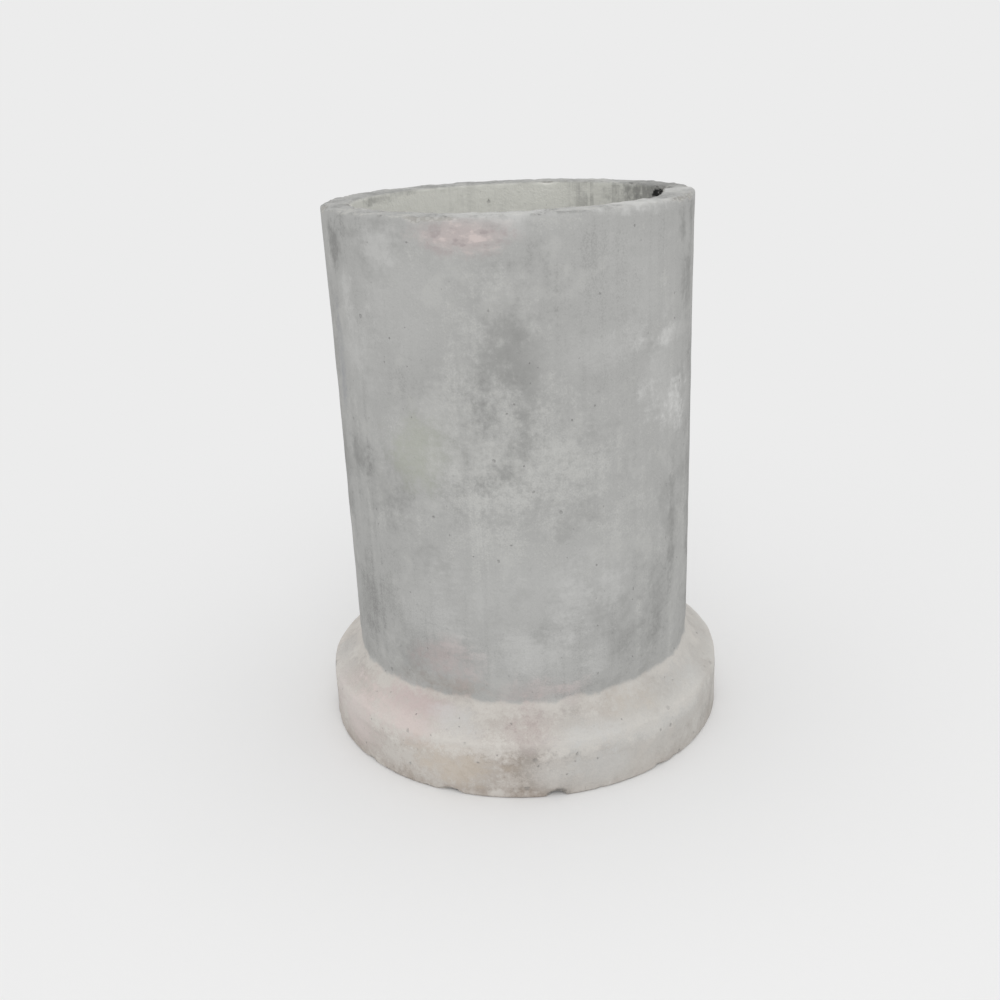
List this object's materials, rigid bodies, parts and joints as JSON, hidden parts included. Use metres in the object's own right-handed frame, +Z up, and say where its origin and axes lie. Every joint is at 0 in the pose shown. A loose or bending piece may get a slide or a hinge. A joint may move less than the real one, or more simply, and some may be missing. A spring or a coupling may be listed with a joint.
{
  "type": "concrete sewer pipe",
  "caption": "Plain concrete sewer pipe standing on its bell: a straight barrel with an open bore, a square spigot end and a wider sloped bell with a socket for the next spigot.",
  "frame": {"origin": "centre of the bell's end face, which the pipe stands on", "axes": "+Z up along the pipe's axis, from the bell to the spigot; the pipe is round, so X and Y are free, and the picture's side faces -Y"},
  "size_m": [0.85, 0.8496, 1.09],
  "materials": {
    "concrete": "raw cast concrete, matt, grey on the barrel and paler and dusty on the bell"
  },
  "bodies": {
    "root": {"concrete_pipe": "concrete"}
  },
  "joints": []
}
